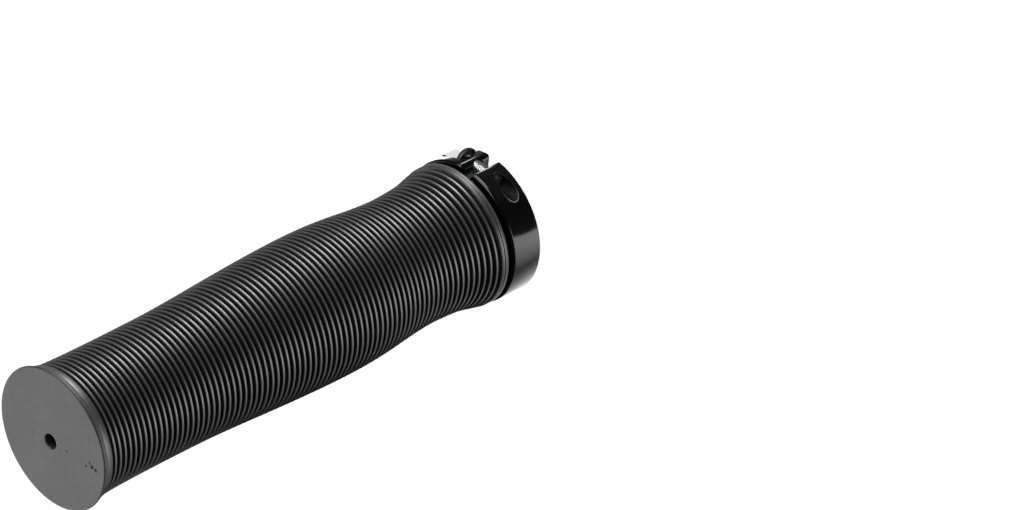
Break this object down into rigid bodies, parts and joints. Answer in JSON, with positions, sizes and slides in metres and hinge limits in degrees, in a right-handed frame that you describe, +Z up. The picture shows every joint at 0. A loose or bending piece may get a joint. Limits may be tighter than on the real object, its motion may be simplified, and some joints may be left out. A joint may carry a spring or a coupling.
{
  "type": "handlebar grip",
  "caption": "Ribbed handlebar grip with a closed flanged end, a contoured waist and a split clamp collar with a pinch bolt at the open end.",
  "frame": {"origin": "bar axis at the collar's open face, on which the grip stands", "axes": "+Z up the bar axis from the clamp collar to the closed end; -Y faces the camera side, and the collar's slot opens 41.5 degrees from -Y towards +X"},
  "size_m": [0.0344, 0.0344, 0.13],
  "materials": {
    "rubber_sleeve": "matte moulded",
    "inner_core": "satin moulded",
    "clamp_collar": "black anodised, glossy",
    "clamp_bolt": "zinc plated, dark passivated, with teal and violet tints"
  },
  "bodies": {
    "root": {"rubber_sleeve": "rubber_sleeve", "inner_core": "inner_core", "clamp_collar": "clamp_collar", "clamp_bolt": "clamp_bolt"}
  },
  "joints": []
}
